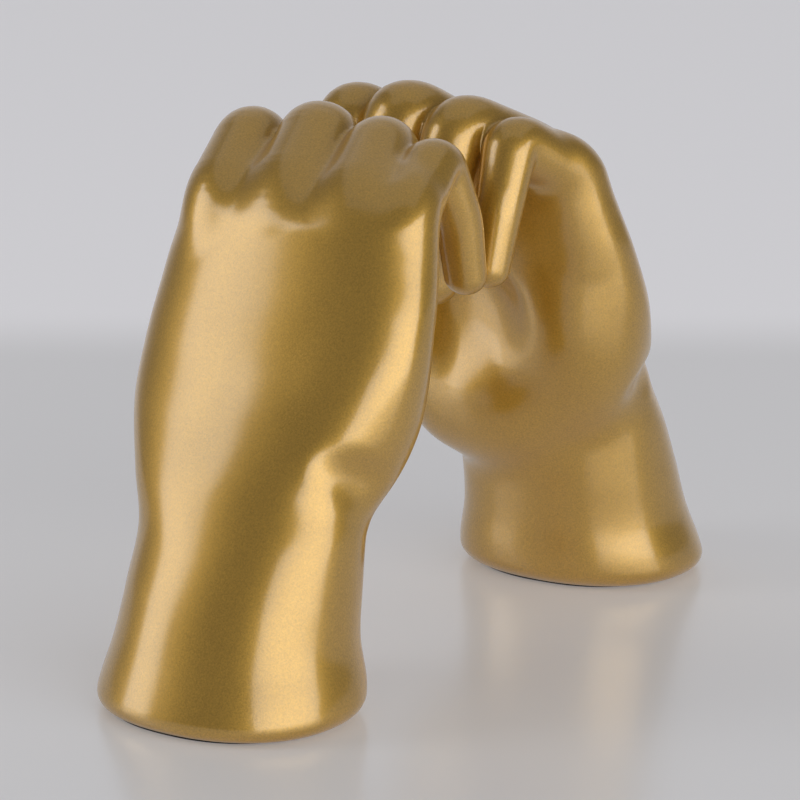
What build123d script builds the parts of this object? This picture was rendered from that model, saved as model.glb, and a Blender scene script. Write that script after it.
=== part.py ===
"""A pair of ceramic hands that stand on their wrists and meet at the backs of their fingertips.

Millimetres.  X runs from hand to hand, Y runs across each hand towards its thumb and Z is up.
The right hand stands on the -X side with its palm facing +X, and the left hand is its mirror
image in the plane X = 0.  The origin is under the middle of the pair, on the surface it stands on.
The hand itself is drawn with the middle of its wrist on the Z axis and is then moved into place.
"""
from build123d import *
from collections import namedtuple
from math import cos, pi, radians, sin
import os

# A section of the wrist or palm: its rise over the section below, and how far forward and aside of that
# one its middle is.  Depth goes from the back of the hand to the palm, width from the little finger's
# side to the thumb's.
Section = namedtuple("Section", "rise forward aside depth width")

# A mound of the palm, placed from the middle of the heel: an ellipsoid whose long axis leans
# forward and aside by angles in degrees
Mound = namedtuple("Mound", "forward aside up depth width length lean_forward lean_aside")

# A joint of a finger, or the middle of its tip, placed from the middle of the knuckle row.
# Room is left beside it, up to the same joint of the next finger or to the palm's outer edge.
FingerJoint = namedtuple("FingerJoint", "forward room up diameter")

# A joint of the thumb, or the middle of its tip, placed from the joint below it, and the root from the
# middle of the heel
ThumbJoint = namedtuple("ThumbJoint", "forward aside up diameter")

# Pads glued under the wrists
PAD_THICKNESS = 1.5
PAD_INSET = 5.0

# Gap between the fingertips of the two hands
TIP_GAP = 0.4

# The foot's rounded edge, an arc in degrees that ends on the pad
FOOT_RADIUS = 6.0
FOOT_ARC = 75.0
FOOT_DROP = FOOT_RADIUS * sin(radians(FOOT_ARC))

# How much narrower the palm gets from its crown to the web between the fingers, and from there to its ridge
WEB_NARROWING = 5.0
RIDGE_NARROWING = 11.0

# Wrist and palm from the foot up
FOOT = Section(rise=PAD_THICKNESS + FOOT_DROP, forward=1.3, aside=0.0, depth=66.0, width=73.5)
FLARE = Section(rise=14.7, forward=3.7, aside=0.0, depth=60.5, width=70.5)
WRIST = Section(rise=20.0, forward=5.0, aside=0.0, depth=54.5, width=68.5)
FOLD = Section(rise=18.0, forward=6.5, aside=2.5, depth=49.0, width=72.5)
HEEL = Section(rise=20.0, forward=10.5, aside=3.0, depth=45.0, width=87.5)
PALM = Section(rise=18.0, forward=7.0, aside=-0.5, depth=38.0, width=92.0)
UPPER_PALM = Section(rise=15.0, forward=3.0, aside=0.0, depth=34.0, width=91.0)
KNUCKLES = Section(rise=10.0, forward=3.0, aside=-0.5, depth=31.0, width=85.0)
CROWN = Section(rise=10.0, forward=4.5, aside=-1.0, depth=27.0, width=80.0)
WEB = Section(rise=5.5, forward=3.0, aside=-0.5, depth=22.0, width=CROWN.width - WEB_NARROWING)
RIDGE = Section(rise=3.5, forward=4.0, aside=-0.5, depth=14.0, width=WEB.width - RIDGE_NARROWING)
SECTIONS = [FOOT, FLARE, WRIST, FOLD, HEEL, PALM, UPPER_PALM, KNUCKLES, CROWN, WEB, RIDGE]

# Squareness of the sections: 2 is an ellipse, more is squarer
SQUARENESS = 2.3

# Mounds at the root of the thumb and at the heel, on the little finger's side
THUMB_MOUND = Mound(forward=7.0, aside=18.5, up=-16.0, depth=38.0, width=42.0, length=61.0,
                    lean_forward=16.0, lean_aside=21.0)
HEEL_MOUND = Mound(forward=4.0, aside=-25.5, up=2.0, depth=37.0, width=35.0, length=60.0,
                   lean_forward=17.5, lean_aside=0.0)

# Fingers from the little finger on: a root inside the palm, the knuckle, the end joint and the tip
LITTLE_ROOT = FingerJoint(forward=7.0, room=4.5, up=6.5, diameter=13.5)
LITTLE_KNUCKLE = FingerJoint(forward=28.5, room=9.0, up=20.0, diameter=15.5)
LITTLE_END_JOINT = FingerJoint(forward=39.5, room=9.7, up=5.0, diameter=13.5)
LITTLE_TIP = FingerJoint(forward=43.5, room=11.0, up=-12.0, diameter=12.0)

RING_ROOT = FingerJoint(forward=4.5, room=0.5, up=7.5, diameter=18.0)
RING_KNUCKLE = FingerJoint(forward=29.5, room=0.2, up=22.0, diameter=20.5)
RING_END_JOINT = FingerJoint(forward=38.0, room=3.2, up=3.0, diameter=19.0)
RING_TIP = FingerJoint(forward=40.5, room=6.5, up=-18.0, diameter=16.5)

MIDDLE_ROOT = FingerJoint(forward=3.5, room=1.8, up=7.0, diameter=20.0)
MIDDLE_KNUCKLE = FingerJoint(forward=27.5, room=0.3, up=24.0, diameter=22.0)
MIDDLE_END_JOINT = FingerJoint(forward=37.0, room=2.0, up=2.5, diameter=20.0)
MIDDLE_TIP = FingerJoint(forward=40.5, room=2.5, up=-20.5, diameter=17.5)

INDEX_ROOT = FingerJoint(forward=2.5, room=4.2, up=4.5, diameter=20.0)
INDEX_KNUCKLE = FingerJoint(forward=25.0, room=0.3, up=22.5, diameter=20.5)
INDEX_END_JOINT = FingerJoint(forward=35.0, room=0.5, up=3.0, diameter=19.5)
INDEX_TIP = FingerJoint(forward=40.0, room=3.5, up=-16.5, diameter=17.5)

FINGERS = [
    [LITTLE_ROOT, LITTLE_KNUCKLE, LITTLE_END_JOINT, LITTLE_TIP],
    [RING_ROOT, RING_KNUCKLE, RING_END_JOINT, RING_TIP],
    [MIDDLE_ROOT, MIDDLE_KNUCKLE, MIDDLE_END_JOINT, MIDDLE_TIP],
    [INDEX_ROOT, INDEX_KNUCKLE, INDEX_END_JOINT, INDEX_TIP],
]

# Thumb, laid up along the palm
THUMB_ROOT = ThumbJoint(forward=5.0, aside=20.5, up=-18.0, diameter=29.0)
THUMB_KNUCKLE = ThumbJoint(forward=11.5, aside=11.5, up=25.0, diameter=24.0)
THUMB_END_JOINT = ThumbJoint(forward=8.5, aside=0.5, up=21.0, diameter=20.5)
THUMB_TIP = ThumbJoint(forward=6.0, aside=-4.0, up=18.0, diameter=17.0)
THUMB = [THUMB_ROOT, THUMB_KNUCKLE, THUMB_END_JOINT, THUMB_TIP]

# How much thinner than its joints a finger bone is
BONE_SLIMNESS = 1.0

# Points of the curve round a section, and steps of the foot's rounded edge
SECTION_POINTS = 16
FOOT_STEPS = 3


def outline(depth, width):
    """A closed superellipse of the given depth along X and width along Y."""
    points = []
    for step in range(SECTION_POINTS):
        angle = 2 * pi * step / SECTION_POINTS
        reach = (abs(cos(angle)) ** SQUARENESS + abs(sin(angle)) ** SQUARENESS) ** (-1 / SQUARENESS)
        points.append((depth / 2 * reach * cos(angle), width / 2 * reach * sin(angle)))
    return make_face(Spline(points, periodic=True))


def middle(section):
    """The middle of a section, at the sum of the moves from section to section up to it."""
    below = SECTIONS[:SECTIONS.index(section) + 1]
    moves = [Vector(step.forward, step.aside, step.rise) for step in below]
    return sum(moves, Vector(0, 0, 0))


def palm():
    """Wrist and palm in one loft, from the foot to the ridge between the finger roots."""
    return loft([Pos(*middle(section)) * outline(section.depth, section.width) for section in SECTIONS])


def foot_slice(drop, margin):
    """The foot's section moved down along the wrist's lean and drawn in all round."""
    lean = FLARE.forward / FLARE.rise
    face = outline(FOOT.depth - 2 * margin, FOOT.width - 2 * margin)
    return Pos(*(middle(FOOT) - Vector(drop * lean, 0, drop))) * face


def foot():
    """The wrist's foot, which keeps the wrist's lean and is rounded in towards its underside."""
    slices = []
    for step in range(FOOT_STEPS + 1):
        turn = radians(FOOT_ARC * step / FOOT_STEPS)
        slices.append(foot_slice(FOOT_RADIUS * sin(turn), FOOT_RADIUS * (1 - cos(turn))))
    return loft(slices)


def pad():
    """The flat pad under a wrist."""
    return extrude(foot_slice(FOOT_DROP, PAD_INSET), -PAD_THICKNESS)


def mound(shape):
    """An ellipsoid that swells out of the palm."""
    half_sizes = (shape.depth / 2, shape.width / 2, shape.length / 2)
    ellipsoid = scale(Sphere(1), by=half_sizes)
    place = middle(HEEL) + Vector(shape.forward, shape.aside, shape.up)
    return Pos(*place) * Rot(X=-shape.lean_aside, Y=shape.lean_forward) * ellipsoid


def limb(centres, diameters):
    """A finger or thumb: tapered bones from the root on, with round joints and a round tip."""
    joints = list(zip(centres, diameters))
    pieces = [Pos(*centre) * Sphere(diameter / 2) for centre, diameter in joints[1:]]
    for (start, start_diameter), (end, end_diameter) in zip(joints, joints[1:]):
        bone = end - start
        taper = Cone(
            (start_diameter - BONE_SLIMNESS) / 2,
            (end_diameter - BONE_SLIMNESS) / 2,
            bone.length,
            align=(Align.CENTER, Align.CENTER, Align.MIN),
        )
        pieces.append(Plane(start, z_dir=bone.normalized()) * taper)
    return pieces


def thumb():
    """The thumb's bones and joints, each joint placed from the one below it."""
    centres = []
    place = middle(HEEL)
    for joint in THUMB:
        place += Vector(joint.forward, joint.aside, joint.up)
        centres.append(place)
    return limb(centres, [joint.diameter for joint in THUMB])


def fingers():
    """The bones and joints of the fingers, which lie side by side from the palm's outer edge on."""
    row = middle(KNUCKLES)
    edges = [row.Y - KNUCKLES.width / 2] * len(FINGERS[0])
    pieces = []
    for joints in FINGERS:
        centres = []
        for number, joint in enumerate(joints):
            aside = edges[number] + joint.room + joint.diameter / 2
            centres.append(Vector(row.X + joint.forward, aside, row.Z + joint.up))
            edges[number] = aside + joint.diameter / 2
        pieces += limb(centres, [joint.diameter for joint in joints])
    return pieces


def hand():
    """The whole right hand, with the middle of its wrist on the Z axis."""
    body = palm() + [foot(), mound(THUMB_MOUND), mound(HEEL_MOUND)]
    return body.fuse(*fingers(), *thumb())


right_hand = hand()
box = right_hand.bounding_box()
place = Pos(-box.max.X - TIP_GAP / 2, -box.center().Y, 0)

nodes = {"right_hand": place * right_hand, "right_pad": place * pad()}
nodes["left_hand"] = mirror(nodes["right_hand"], about=Plane.YZ)
nodes["left_pad"] = mirror(nodes["right_pad"], about=Plane.YZ)

os.makedirs("parts", exist_ok=True)
for name, solid in nodes.items():
    export_step(solid, f"parts/{name}.step")
    print(name, round(solid.volume), solid.bounding_box())
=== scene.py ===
"""A pair of satin gold ceramic hands on black pads: their modelled surfaces, finishes and studio."""

import math

import bpy
import numpy as np
from mathutils import Matrix, Vector


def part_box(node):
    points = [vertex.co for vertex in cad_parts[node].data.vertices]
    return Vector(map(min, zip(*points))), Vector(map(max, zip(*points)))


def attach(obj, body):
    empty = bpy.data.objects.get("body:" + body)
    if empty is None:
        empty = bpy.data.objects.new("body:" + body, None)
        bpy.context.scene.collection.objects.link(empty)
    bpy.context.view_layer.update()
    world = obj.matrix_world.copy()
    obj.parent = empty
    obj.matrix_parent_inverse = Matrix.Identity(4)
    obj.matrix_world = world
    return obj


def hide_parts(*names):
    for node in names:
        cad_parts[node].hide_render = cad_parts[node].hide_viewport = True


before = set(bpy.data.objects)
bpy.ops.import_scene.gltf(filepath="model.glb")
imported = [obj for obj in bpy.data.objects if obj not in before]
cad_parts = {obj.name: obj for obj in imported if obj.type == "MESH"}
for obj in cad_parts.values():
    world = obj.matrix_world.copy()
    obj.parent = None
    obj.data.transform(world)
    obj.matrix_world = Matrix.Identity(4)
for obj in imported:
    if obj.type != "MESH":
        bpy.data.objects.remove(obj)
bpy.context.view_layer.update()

MM = 0.001

# The right hand in millimetres, with the middle of its pad on the Z axis: x runs from the back of the
# hand to the palm, y towards the thumb and z up.

# Wrist and palm: height, forward, aside, half depth, half width, squareness
WRIST_AND_PALM = np.array([
    (0.5, 0.0, -0.6, 33.0, 39.0, 2.2),
    (8.0, 2.0, -0.6, 32.6, 38.0, 2.2),
    (20.0, 4.4, -0.3, 30.5, 34.9, 2.2),
    (35.0, 8.2, -0.2, 28.6, 33.6, 2.2),
    (50.0, 12.7, 0.5, 25.7, 33.4, 2.2),
    (63.0, 17.8, 4.2, 23.8, 35.6, 2.3),
    (80.0, 26.8, 5.6, 22.2, 42.7, 2.3),
    (95.0, 33.5, 4.8, 20.1, 45.6, 2.3),
    (110.0, 39.3, 4.7, 18.8, 45.0, 2.3),
    (122.0, 43.4, 5.1, 17.5, 43.0, 2.3),
    (134.0, 46.5, 3.6, 15.6, 38.6, 2.3),
    (146.0, 49.5, 2.5, 13.5, 36.0, 2.3),
])
FOOT_ROUNDING = 5.5

# The slanted plane that ends the palm under the fingers: a point on it, its direction and its rounding
KNUCKLE_PLANE = np.array((35.5, 0.0, 140.0))
KNUCKLE_SLANT = np.array((-0.309, 0.0, 0.951))
KNUCKLE_ROUNDING = 8.0

# Fingers: bone of the palm, root, knuckle, end joint and tip, each with x, y, z, half thickness
# and half width
INDEX = np.array([
    (39.0, 28.0, 104.0, 9.0, 13.0), (41.5, 32.5, 131.5, 11.0, 12.8), (66.2, 39.9, 149.2, 9.0, 10.2),
    (75.8, 39.3, 125.9, 9.2, 10.0), (80.8, 40.0, 106.0, 8.2, 9.2),
])
MIDDLE = np.array([
    (40.0, 6.0, 106.0, 9.0, 13.0), (43.0, 10.0, 134.5, 11.0, 14.5), (70.5, 18.8, 152.8, 8.8, 11.1),
    (78.4, 19.6, 123.3, 9.4, 10.3), (81.2, 19.2, 102.0, 8.2, 9.2),
])
RING = np.array([
    (41.0, -13.0, 106.0, 9.0, 12.0), (44.5, -12.0, 135.0, 10.8, 13.5), (71.2, -1.9, 148.8, 10.0, 10.0),
    (79.9, -2.2, 126.8, 9.2, 9.7), (81.0, 0.4, 104.3, 7.8, 8.6),
])
LITTLE = np.array([
    (44.0, -26.0, 108.0, 7.0, 9.0), (48.0, -25.8, 133.5, 8.8, 9.4), (70.6, -20.4, 146.8, 7.3, 8.6),
    (79.7, -22.4, 127.9, 6.4, 7.0), (84.0, -21.6, 110.6, 5.6, 6.4),
])

# Thumb: root, knuckle, end joint and tip in the same way
THUMB = np.array([
    (30.0, 24.0, 58.0, 16.0, 16.0), (44.0, 38.0, 86.0, 12.0, 12.0),
    (52.0, 38.0, 108.0, 10.3, 10.3), (58.0, 34.0, 126.0, 8.5, 8.5),
])

# Mounds of the palm: middle, half sizes and the direction of the long axis
THUMB_MOUND = ((37.0, 8.0, 61.0), (15.0, 27.0, 20.0), (0.0, 0.15, 0.95))
HEEL_MOUND = ((35.0, -20.6, 80.4), (15.0, 16.4, 24.8), (0.3, 0.0, 0.95))

# What is hollowed out, in the same way: the palm between its mounds and the thumb, and the crease
# between the heel of the hand and the wrist on the little finger's side
PALM_HOLLOW = ((63.0, 12.0, 81.0), (14.0, 27.0, 28.0), (-0.38, 0.05, 0.92))
HEEL_CREASE = ((14.2, -36.4, 67.2), (5.0, 5.0, 20.0), (-0.83, 0.29, 0.47))

# How far forms melt into each other
MOUND_BLEND = 12.0
THUMB_BLEND = 8.0
HOLLOW_BLEND = 6.0
KNUCKLE_BLEND = 4.0
FINGER_GROOVE = 1.6

# The box that holds the hand, the step of its surface's grid, how many times coarser the first look is,
# and how near the surface distances are worked out again
HAND_LOW = np.array((-42.0, -48.0, -4.0))
HAND_HIGH = np.array((98.0, 64.0, 168.0))
GRID_STEP = 1.0
REFINE = 4
BAND = 5.0

# Share of the estimated distance to a section that is kept, since the sections lean and change
SECTION_SHARE = 0.93

# Pulling vertices onto the surface: how often, what share of the way, and the least slope that is trusted
PULLS = 2
PULL_SHARE = 0.8
LEAST_SLOPE = 0.05

# The studio in metres: the level direction that the camera looks along, towards the wall, the floor's
# radius and corners, and where on the floor the wall's soft lower edge starts and ends
AWAY = (0.812, 0.5835, 0)
FLOOR_RADIUS = 6.0
FLOOR_CORNERS = 64
WALL_START = 0.33
WALL_END = 0.42

# Camera
CAMERA_PLACE = (-0.9136, -0.6558, 0.3531)
CAMERA_AZIMUTH = math.radians(-54.31)
CAMERA_ELEVATION = math.radians(14.18)
CAMERA_LENS = 178.8
CAMERA_SENSOR = 36.0


def melt(a, b, reach):
    """The lower of two distances, rounded off where they differ by less than reach."""
    share = np.clip(0.5 + 0.5 * (b - a) / reach, 0, 1)
    return b + (a - b) * share - reach * share * (1 - share)


def hollow(body, cut, reach):
    """A body without a cut, with a soft rim: the melt of the space outside it and the cut, turned round."""
    return -melt(-body, cut, reach)


def round_and(a, b, radius):
    """The space inside both of two distances, with its edge rounded to a radius."""
    over = np.hypot(np.maximum(a + radius, 0), np.maximum(b + radius, 0))
    return np.minimum(np.maximum(a, b), -radius) + over


def along(table, heights):
    """The table's columns at any height, on cubic curves that pass through its rows."""
    knots = table[:, 0]
    heights = np.clip(heights, knots[0], knots[-1])
    row = np.clip(np.searchsorted(knots, heights) - 1, 0, len(knots) - 2)
    gap = np.diff(knots)[row]
    t = (heights - knots[row]) / gap
    columns = []
    for values in table[:, 1:].T:
        slope = np.gradient(values, knots)
        columns.append(
            (2 * t**3 - 3 * t**2 + 1) * values[row] + (t**3 - 2 * t**2 + t) * gap * slope[row]
            + (3 * t**2 - 2 * t**3) * values[row + 1] + (t**3 - t**2) * gap * slope[row + 1]
        )
    return columns


def wrist_and_palm(p):
    """Distance to a stack of superellipses |x/a|^n + |y/b|^n = 1, with rounded ends."""
    forward, aside, depth, width, power = along(WRIST_AND_PALM, p[:, 2])
    u = np.maximum(np.abs(p[:, 0] - forward) / depth, 1e-4)
    v = np.maximum(np.abs(p[:, 1] - aside) / width, 1e-4)
    reach = (u**power + v**power) ** (1 / power)
    slope = np.hypot(u ** (power - 1) / depth, v ** (power - 1) / width) * reach ** (1 - power)
    side = (reach - 1) / np.maximum(slope, 1e-4) * SECTION_SHARE
    lower = round_and(side, WRIST_AND_PALM[0, 0] - p[:, 2], FOOT_ROUNDING)
    return round_and(lower, (p - KNUCKLE_PLANE) @ KNUCKLE_SLANT, KNUCKLE_ROUNDING)


def mound(p, middle, half_sizes, axis):
    """Distance to an ellipsoid: (k - 1) / |gradient of k|.

    k is the way from the middle in half sizes: 0 in the middle and 1 on the surface.
    """
    long = np.array(axis) / np.linalg.norm(axis)
    deep = np.cross((0, 1, 0), long)
    deep /= np.linalg.norm(deep)
    own_axes = np.stack([deep, np.cross(long, deep), long], 1)
    local = (p - np.array(middle)) @ own_axes / np.array(half_sizes)
    k = np.linalg.norm(local, axis=1)
    return k * (k - 1) / (np.linalg.norm(local / np.array(half_sizes), axis=1) + 1e-6)


def limb_line(joints, bend_steps=9):
    """A limb's line: straight bones joined by parabolas.

    Each parabola leaves its bone, and joins the next, a quarter of the way from the joint.
    """
    t = np.linspace(0, 1, bend_steps)[:, None]
    points = [joints[:1]]
    for before, joint, after in zip(joints, joints[1:], joints[2:]):
        start = joint + (before - joint) / 4
        end = joint + (after - joint) / 4
        points.append((1 - t) ** 2 * start + 2 * t * (1 - t) * joint + t**2 * end)
    return np.concatenate(points + [joints[-1:]])


def limb(p, joints):
    """Distance to a round-ended tube along a limb's line.

    Its thickness and width change evenly from point to point, and distances along y are scaled by their
    ratio.
    """
    line = limb_line(joints)
    distance = np.full(len(p), np.inf)
    for start, end in zip(line, line[1:]):
        bone = end[:3] - start[:3]
        t = np.clip((p - start[:3]) @ bone / (bone @ bone), 0, 1)
        thick, wide = start[3:, None] + t * (end - start)[3:, None]
        off = p - start[:3] - t[:, None] * bone
        off[:, 1] *= thick / wide
        distance = np.minimum(distance, np.linalg.norm(off, axis=1) - thick)
    return distance


def hand(p):
    """Distance to the whole hand: wrist, palm, mounds, hollows and thumb melted, then the fingers."""
    body = wrist_and_palm(p)
    body = melt(body, mound(p, *THUMB_MOUND), MOUND_BLEND)
    body = melt(body, mound(p, *HEEL_MOUND), MOUND_BLEND)
    body = hollow(body, mound(p, *PALM_HOLLOW), HOLLOW_BLEND)
    body = hollow(body, mound(p, *HEEL_CREASE), HOLLOW_BLEND)
    body = melt(body, limb(p, THUMB), THUMB_BLEND)
    fingers = limb(p, INDEX)
    for joints in (MIDDLE, RING, LITTLE):
        fingers = melt(fingers, limb(p, joints), FINGER_GROOVE)
    return melt(body, fingers, KNUCKLE_BLEND)


def finer(values, axis):
    """A grid made REFINE times finer along one axis by straight lines between its values."""
    values = np.moveaxis(values, axis, 0)
    t = (np.arange(REFINE) / REFINE).reshape(1, -1, 1, 1)
    between = values[:-1, None] * (1 - t) + values[1:, None] * t
    between = between.reshape(-1, *values.shape[1:])
    return np.moveaxis(np.concatenate([between, values[-1:]]), 0, axis)


def distance_grid(shape, low, high, step):
    """The shape's distances on a grid: coarse everywhere, and exact near its surface."""
    coarse = step * REFINE
    counts = np.ceil((high - low) / coarse).astype(int) + 1
    axes = [low[i] + coarse * np.arange(counts[i]) for i in range(3)]
    nodes = np.stack(np.meshgrid(*axes, indexing="ij"), -1).reshape(-1, 3)
    values = shape(nodes).reshape(counts)
    for axis in range(3):
        values = finer(values, axis)
    near = np.argwhere(np.abs(values) < BAND)
    values[tuple(near.T)] = shape(low + step * near)
    return values


def distance_and_slope(shape, points, reach=0.2):
    """The shape's distance at points, and how it changes along each axis.

    The change is the difference between two points a little to each side, over the way between them.
    """
    steps = reach * np.eye(3)
    slope = np.stack([(shape(points + s) - shape(points - s)) / (2 * reach) for s in steps], 1)
    return shape(points), slope


def surface_of(shape, low, high, step):
    """The zero surface: one vertex in each cell that it crosses, joined across each crossed edge by a face.

    A vertex starts at the mean of the crossings on its cell's edges, and is then pulled onto the surface
    along its slope.
    """
    values = distance_grid(shape, low, high, step)
    inside = values < 0
    cells = np.array(values.shape) - 1
    total = np.zeros((*cells, 3))
    count = np.zeros(cells)
    corners = np.stack(np.meshgrid((0, 1), (0, 1), (0, 1), indexing="ij"), -1).reshape(-1, 3)
    for corner in corners:
        for axis in np.flatnonzero(corner == 0):
            other = corner + np.eye(3, dtype=int)[axis]
            a = values[tuple(slice(c, c + n) for c, n in zip(corner, cells))]
            b = values[tuple(slice(c, c + n) for c, n in zip(other, cells))]
            crossed = (a < 0) != (b < 0)
            t = np.where(crossed, a / np.where(crossed, a - b, 1), 0)
            total += np.where(crossed[..., None], corner, 0)
            total[..., axis] += t
            count += crossed
    used = count > 0
    number = np.full(cells, -1)
    number[used] = np.arange(used.sum())
    points = low + step * (np.argwhere(used) + total[used] / count[used][:, None])

    faces = []
    for axis in range(3):
        across, up = (axis + 1) % 3, (axis + 2) % 3
        first = np.moveaxis(np.moveaxis(inside, axis, 0)[:-1], 0, axis)
        second = np.moveaxis(np.moveaxis(inside, axis, 0)[1:], 0, axis)
        edges = np.argwhere(first != second)
        ring = []
        for a, b in ((-1, -1), (0, -1), (0, 0), (-1, 0)):
            cell = edges.copy()
            cell[:, across] += a
            cell[:, up] += b
            ring.append(number[tuple(cell.T)])
        ring = np.stack(ring, 1)
        outward = first[tuple(edges.T)]
        faces.append(np.where(outward[:, None], ring, ring[:, ::-1]))

    for _ in range(PULLS):
        distance, slope = distance_and_slope(shape, points)
        pull = distance / np.maximum((slope**2).sum(1), LEAST_SLOPE)
        points = points - PULL_SHARE * slope * pull[:, None]
    return points, np.concatenate(faces)


def add_object(name, data):
    """An object in the scene that shows the given data."""
    made = bpy.data.objects.new(name, data)
    bpy.context.scene.collection.objects.link(made)
    return made


def add_mesh(name, points, faces):
    """A smooth mesh object of four-sided faces, placed by its points in metres."""
    mesh = bpy.data.meshes.new(name)
    mesh.vertices.add(len(points))
    mesh.vertices.foreach_set("co", points.astype(np.float32).ravel())
    mesh.loops.add(faces.size)
    mesh.loops.foreach_set("vertex_index", faces.astype(np.int32).ravel())
    mesh.polygons.add(len(faces))
    mesh.polygons.foreach_set("loop_start", 4 * np.arange(len(faces), dtype=np.int32))
    mesh.polygons.foreach_set("use_smooth", np.ones(len(faces), dtype=bool))
    mesh.update(calc_edges=True)
    mesh.validate()
    return add_object(name, mesh)


def new_material(name):
    """A material with its Principled shader, ready for its nodes."""
    material = bpy.data.materials.new(name)
    material.use_nodes = True
    nodes = material.node_tree.nodes
    return material, nodes, material.node_tree.links, nodes["Principled BSDF"]


def flake_grain_group():
    """A fine speckle, as of flakes or pebbles, and a broad soft cloud, both from noise over the surface."""
    group = bpy.data.node_groups.new("flake_grain", "ShaderNodeTree")
    face = group.interface
    face.new_socket("Vector", in_out="INPUT", socket_type="NodeSocketVector")
    face.new_socket("Scale", in_out="INPUT", socket_type="NodeSocketFloat")
    face.new_socket("Speckle", in_out="OUTPUT", socket_type="NodeSocketFloat")
    face.new_socket("Cloud", in_out="OUTPUT", socket_type="NodeSocketFloat")
    nodes, links = group.nodes, group.links
    given = nodes.new("NodeGroupInput")
    result = nodes.new("NodeGroupOutput")
    speckle = nodes.new("ShaderNodeTexNoise")
    speckle.inputs["Detail"].default_value = 2.0
    speckle.inputs["Roughness"].default_value = 0.7
    cloud = nodes.new("ShaderNodeTexNoise")
    cloud.inputs["Scale"].default_value = 45.0
    cloud.inputs["Detail"].default_value = 3.0
    links.new(given.outputs["Vector"], speckle.inputs["Vector"])
    links.new(given.outputs["Scale"], speckle.inputs["Scale"])
    links.new(given.outputs["Vector"], cloud.inputs["Vector"])
    links.new(speckle.outputs["Fac"], result.inputs["Speckle"])
    links.new(cloud.outputs["Fac"], result.inputs["Cloud"])
    return group


def put_grain(nodes, links, shader, group, scale, dark, light, roughness):
    """The grain on a shader: its speckle mixes a dark and a light colour and roughens the surface."""
    place = nodes.new("ShaderNodeTexCoord")
    grain = nodes.new("ShaderNodeGroup")
    grain.node_tree = group
    grain.inputs["Scale"].default_value = scale
    links.new(place.outputs["Object"], grain.inputs["Vector"])

    tint = nodes.new("ShaderNodeMix")
    tint.data_type = "RGBA"
    tint.inputs["A"].default_value = (*dark, 1)
    tint.inputs["B"].default_value = (*light, 1)
    links.new(grain.outputs["Speckle"], tint.inputs["Factor"])
    links.new(tint.outputs["Result"], shader.inputs["Base Color"])

    bump = nodes.new("ShaderNodeBump")
    bump.inputs["Strength"].default_value = roughness
    bump.inputs["Distance"].default_value = 0.0002
    links.new(grain.outputs["Speckle"], bump.inputs["Height"])
    links.new(bump.outputs["Normal"], shader.inputs["Normal"])
    return grain


def satin_gold(group):
    """Gold lustre on ceramic: a metal under a clear glaze, with flakes and a slightly cloudy gloss."""
    material, nodes, links, shader = new_material("satin_gold")
    grain = put_grain(
        nodes, links, shader, group,
        scale=1900.0, dark=(0.36, 0.205, 0.02), light=(0.88, 0.51, 0.07), roughness=0.3,
    )
    gloss = nodes.new("ShaderNodeMapRange")
    gloss.inputs["From Min"].default_value = 0.3
    gloss.inputs["From Max"].default_value = 0.7
    gloss.inputs["To Min"].default_value = 0.37
    gloss.inputs["To Max"].default_value = 0.42
    links.new(grain.outputs["Cloud"], gloss.inputs["Value"])
    links.new(gloss.outputs["Result"], shader.inputs["Roughness"])
    shader.inputs["Metallic"].default_value = 0.68
    shader.inputs["Coat Weight"].default_value = 1.0
    shader.inputs["Coat Roughness"].default_value = 0.17
    shader.inputs["Coat IOR"].default_value = 1.8
    return material


def black_rubber(group):
    """Matt black pad material with a fine pebbled face."""
    material, nodes, links, shader = new_material("black_rubber")
    put_grain(
        nodes, links, shader, group,
        scale=1400.0, dark=(0.006, 0.006, 0.006), light=(0.018, 0.018, 0.018), roughness=0.4,
    )
    shader.inputs["Roughness"].default_value = 0.75
    return material


def pale_floor():
    """A pale glossy table top that turns into a paler wall past a soft line behind the hands."""
    material, nodes, links, shader = new_material("pale_floor")
    place = nodes.new("ShaderNodeTexCoord")
    depth = nodes.new("ShaderNodeVectorMath")
    depth.operation = "DOT_PRODUCT"
    depth.inputs[1].default_value = AWAY
    links.new(place.outputs["Object"], depth.inputs[0])
    wall = nodes.new("ShaderNodeMapRange")
    wall.interpolation_type = "SMOOTHSTEP"
    wall.inputs["From Min"].default_value = WALL_START
    wall.inputs["From Max"].default_value = WALL_END
    links.new(depth.outputs["Value"], wall.inputs["Value"])

    tint = nodes.new("ShaderNodeMix")
    tint.data_type = "RGBA"
    tint.inputs["A"].default_value = (0.72, 0.72, 0.73, 1)
    tint.inputs["B"].default_value = (0.80, 0.795, 0.83, 1)
    links.new(wall.outputs["Result"], tint.inputs["Factor"])
    links.new(tint.outputs["Result"], shader.inputs["Base Color"])
    shader.inputs["Roughness"].default_value = 0.22
    shader.inputs["Specular IOR Level"].default_value = 0.75

    # The camera and the gold's reflections see the floor and the wall a little brighter than they are lit
    glow = nodes.new("ShaderNodeMapRange")
    glow.inputs["To Min"].default_value = 0.165
    glow.inputs["To Max"].default_value = 0.245
    links.new(wall.outputs["Result"], glow.inputs["Value"])
    path = nodes.new("ShaderNodeLightPath")
    seen = nodes.new("ShaderNodeMath")
    seen.operation = "MAXIMUM"
    links.new(path.outputs["Is Camera Ray"], seen.inputs[0])
    links.new(path.outputs["Is Glossy Ray"], seen.inputs[1])
    shown = nodes.new("ShaderNodeMath")
    shown.operation = "MULTIPLY"
    links.new(glow.outputs["Result"], shown.inputs[0])
    links.new(seen.outputs["Value"], shown.inputs[1])
    links.new(shown.outputs["Value"], shader.inputs["Emission Strength"])
    shader.inputs["Emission Color"].default_value = (1.0, 0.995, 1.03, 1)
    return material


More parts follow.
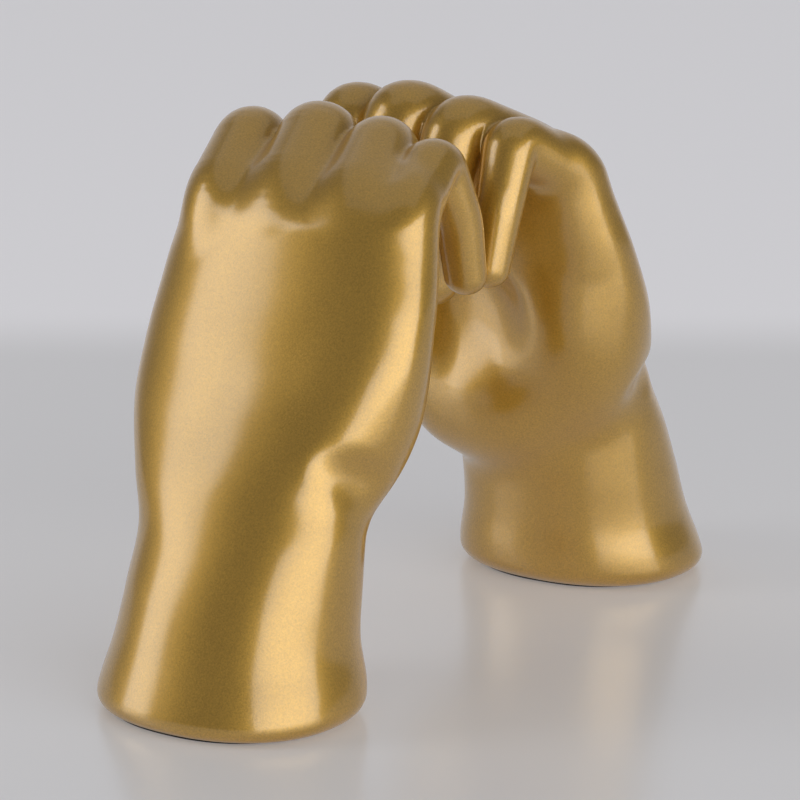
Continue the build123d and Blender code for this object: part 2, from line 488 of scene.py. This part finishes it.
def add_floor():
    """A flat disc: corners at even angles on a circle, joined by one face."""
    turn = np.linspace(0, 2 * np.pi, FLOOR_CORNERS, endpoint=False)
    corners = np.stack([FLOOR_RADIUS * np.cos(turn), FLOOR_RADIUS * np.sin(turn), 0 * turn], 1)
    mesh = bpy.data.meshes.new("floor")
    mesh.from_pydata(corners.tolist(), [], [list(range(FLOOR_CORNERS))])
    mesh.materials.append(pale_floor())
    return add_object("floor", mesh)


def add_camera():
    """The camera that looks from its place along its azimuth and elevation."""
    back = Vector((
        math.sin(CAMERA_AZIMUTH) * math.cos(CAMERA_ELEVATION),
        -math.cos(CAMERA_AZIMUTH) * math.cos(CAMERA_ELEVATION),
        math.sin(CAMERA_ELEVATION),
    ))
    data = bpy.data.cameras.new("camera")
    data.sensor_width = CAMERA_SENSOR
    data.lens = CAMERA_LENS
    camera = add_object("camera", data)
    look = (-back).to_track_quat("-Z", "Y")
    camera.matrix_world = Matrix.Translation(CAMERA_PLACE) @ look.to_matrix().to_4x4()
    return camera


def soft_box(name, place, aim, size, power):
    """A rectangular studio lamp that looks from its place at a point."""
    data = bpy.data.lights.new(name, "AREA")
    data.shape = "RECTANGLE"
    data.size, data.size_y = size
    data.energy = power
    lamp = add_object(name, data)
    look = (Vector(aim) - Vector(place)).to_track_quat("-Z", "Y")
    lamp.matrix_world = Matrix.Translation(place) @ look.to_matrix().to_4x4()


def studio_world():
    """Dim soft light from all round that grows towards the pale wall behind the hands."""
    world = bpy.data.worlds.new("studio")
    world.use_nodes = True
    nodes, links = world.node_tree.nodes, world.node_tree.links
    place = nodes.new("ShaderNodeTexCoord")
    facing = nodes.new("ShaderNodeVectorMath")
    facing.operation = "DOT_PRODUCT"
    facing.inputs[1].default_value = AWAY
    links.new(place.outputs["Generated"], facing.inputs[0])
    level = nodes.new("ShaderNodeMapRange")
    level.interpolation_type = "SMOOTHSTEP"
    level.inputs["From Min"].default_value = 0.5
    level.inputs["From Max"].default_value = 0.95
    level.inputs["To Min"].default_value = 0.13
    level.inputs["To Max"].default_value = 0.55
    links.new(facing.outputs["Value"], level.inputs["Value"])
    background = nodes["Background"]
    background.inputs["Color"].default_value = (0.98, 0.97, 1.0, 1)
    links.new(level.outputs["Result"], background.inputs["Strength"])
    return world


# Finishes
grain_group = flake_grain_group()
gold = satin_gold(grain_group)
rubber = black_rubber(grain_group)

# The two hands: the right one stands over its pad, up to where the fingertips meet, and the left one is
# its mirror image
points, faces = surface_of(hand, HAND_LOW, HAND_HIGH, GRID_STEP)
pad_low, pad_high = (np.array(corner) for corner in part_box("right_pad"))
pad_middle = (pad_low + pad_high) / 2
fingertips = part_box("right_hand")[1][0]
shift = np.array((fingertips - points[:, 0].max() * MM, pad_middle[1], 0))
right_points = points * MM + shift
left_points = right_points * (-1, 1, 1)
sides = {"right": (right_points, faces), "left": (left_points, faces[:, ::-1])}
for side, (side_points, side_faces) in sides.items():
    piece = add_mesh(f"{side}_hand_surface", side_points, side_faces)
    piece.data.materials.append(gold)
    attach(piece, "root")
    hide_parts(f"{side}_hand")
    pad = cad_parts[f"{side}_pad"]
    for slot in pad.material_slots:
        slot.material = rubber

# Studio
add_floor()
scene = bpy.context.scene
scene.camera = add_camera()
soft_box("left_box", (-0.7, 0.83, 0.45), (0, 0, 0.08), (0.45, 0.9), 2.8)
soft_box("right_box", (-0.42, -1.3, 0.42), (0, 0, 0.08), (2.0, 0.85), 11)
soft_box("top_box", (0.2, 0.1, 1.6), (0, 0, 0), (2.0, 2.0), 3)
scene.world = studio_world()
scene.view_settings.view_transform = "Standard"
